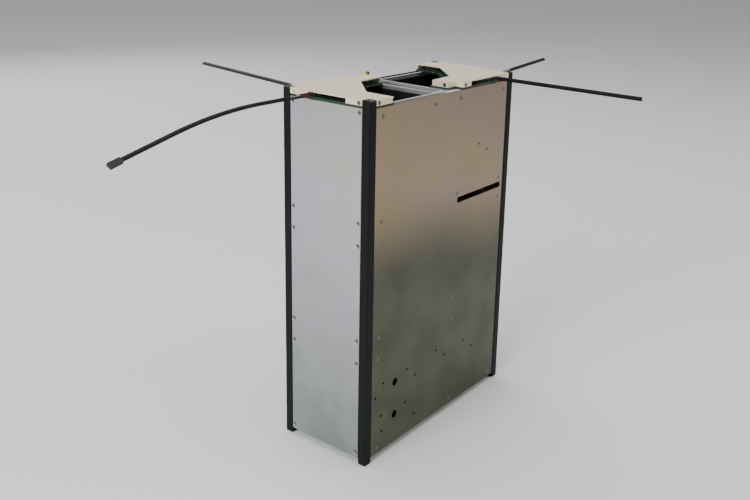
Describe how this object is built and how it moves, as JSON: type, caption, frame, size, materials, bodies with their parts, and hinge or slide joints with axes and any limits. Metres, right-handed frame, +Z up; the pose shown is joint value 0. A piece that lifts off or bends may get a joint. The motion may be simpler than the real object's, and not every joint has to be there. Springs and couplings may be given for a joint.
{
  "type": "nanosatellite structure",
  "caption": "Tall boxy nanosatellite structure: metal panels between black corner rails, an open top with antenna modules, and blades that fold out in a cross.",
  "frame": {"origin": "middle of the base, level with the lower ends of the four corner rails, at the centre of the pattern of their end holes", "axes": "+Z up along the rails, towards the antenna modules; +X along the wide faces; -Y out of the front wide face, which has the slot"},
  "size_m": [0.558, 0.4174, 0.3419],
  "materials": {
    "rail_black": "black anodised, satin",
    "strip_black": "extruded, matt",
    "panel_metal": "satin rolled sheet",
    "cover_metal": "fine matt, warm",
    "frame_metal": "machined bright",
    "screw_steel": "satin",
    "board_green": "solder mask over glass fibre",
    "connector_black": "moulded",
    "blade_black": "black coated spring strip",
    "holder_black": "machined acetal",
    "sleeve_red": "heat-shrunk sleeve",
    "tip_grey": "moulded cap",
    "pin_steel": "ground",
    "spring_steel": "drawn wire",
    "battery_wrap": "film wrap",
    "tray_metal": "milled",
    "radio_case": "dark satin",
    "post_brass": "turned"
  },
  "bodies": {
    "satellite": {"antenna_board_left": "board_green", "antenna_board_right": "board_green", "base_plate": "panel_metal", "battery_pack": "battery_wrap", "battery_tray": "tray_metal", "board_connectors_left": "connector_black", "board_connectors_right": "connector_black", "board_screws": "screw_steel", "brass_post": "post_brass", "contact_pin": "post_brass", "cover_left": "cover_metal", "cover_right": "cover_metal", "cover_screws": "screw_steel", "cover_spacers_left": "frame_metal", "cover_spacers_right": "frame_metal", "edge_strips": "strip_black", "frame_base": "frame_metal", "frame_lower_a": "frame_metal", "frame_lower_b": "frame_metal", "frame_top": "frame_metal", "frame_upper_a": "frame_metal", "frame_upper_b": "frame_metal", "hinge_pins": "pin_steel", "panel_back": "panel_metal", "panel_front": "panel_metal", "panel_left": "panel_metal", "panel_right": "panel_metal", "radio_plate": "frame_metal", "radio_unit": "radio_case", "rail_back_left": "rail_black", "rail_back_right": "rail_black", "rail_front_left": "rail_black", "rail_front_right": "rail_black", "screws_back": "screw_steel", "screws_base": "screw_steel", "screws_front": "screw_steel", "screws_left": "screw_steel", "screws_right": "screw_steel", "stack_base_plate": "frame_metal", "stack_boards": "board_green", "stack_nuts": "screw_steel", "stack_rods": "screw_steel", "stack_spacers": "frame_metal", "torsion_springs": "spring_steel"},
    "front_blade": {"blade_front": "blade_black", "root_holder_front": "holder_black"},
    "right_blade": {"blade_right": "blade_black", "root_holder_right": "holder_black", "root_sleeve_right": "sleeve_red", "feed_strip_right": "board_green"},
    "back_blade": {"blade_back": "blade_black", "root_holder_back": "holder_black"},
    "left_blade": {"blade_left": "blade_black", "root_holder_left": "holder_black", "root_sleeve_left": "sleeve_red", "feed_strip_left": "board_green", "tip_cap": "tip_grey"}
  },
  "joints": [
    {"name": "front_blade_fold", "type": "hinge", "parent": "satellite", "child": "front_blade", "pos_m": [0.082, -0.047, 0.3374], "axis": [0, 0, 1], "range_deg": [-82, 0], "stiffness_Nm_per_rad": 0.0015, "springref_deg": 20.05},
    {"name": "right_blade_fold", "type": "hinge", "parent": "satellite", "child": "right_blade", "pos_m": [0.11015, -0.035, 0.3374], "axis": [0, 0, 1], "range_deg": [0, 73], "stiffness_Nm_per_rad": 0.0015, "springref_deg": -20.05},
    {"name": "back_blade_fold", "type": "hinge", "parent": "satellite", "child": "back_blade", "pos_m": [-0.0953, 0.047, 0.3374], "axis": [0, 0, 1], "range_deg": [-71.5, 0], "stiffness_Nm_per_rad": 0.0015, "springref_deg": 20.05},
    {"name": "left_blade_fold", "type": "hinge", "parent": "satellite", "child": "left_blade", "pos_m": [-0.11015, 0.0167, 0.3374], "axis": [0, 0, 1], "range_deg": [0, 81.5], "stiffness_Nm_per_rad": 0.0015, "springref_deg": -20.05}
  ]
}
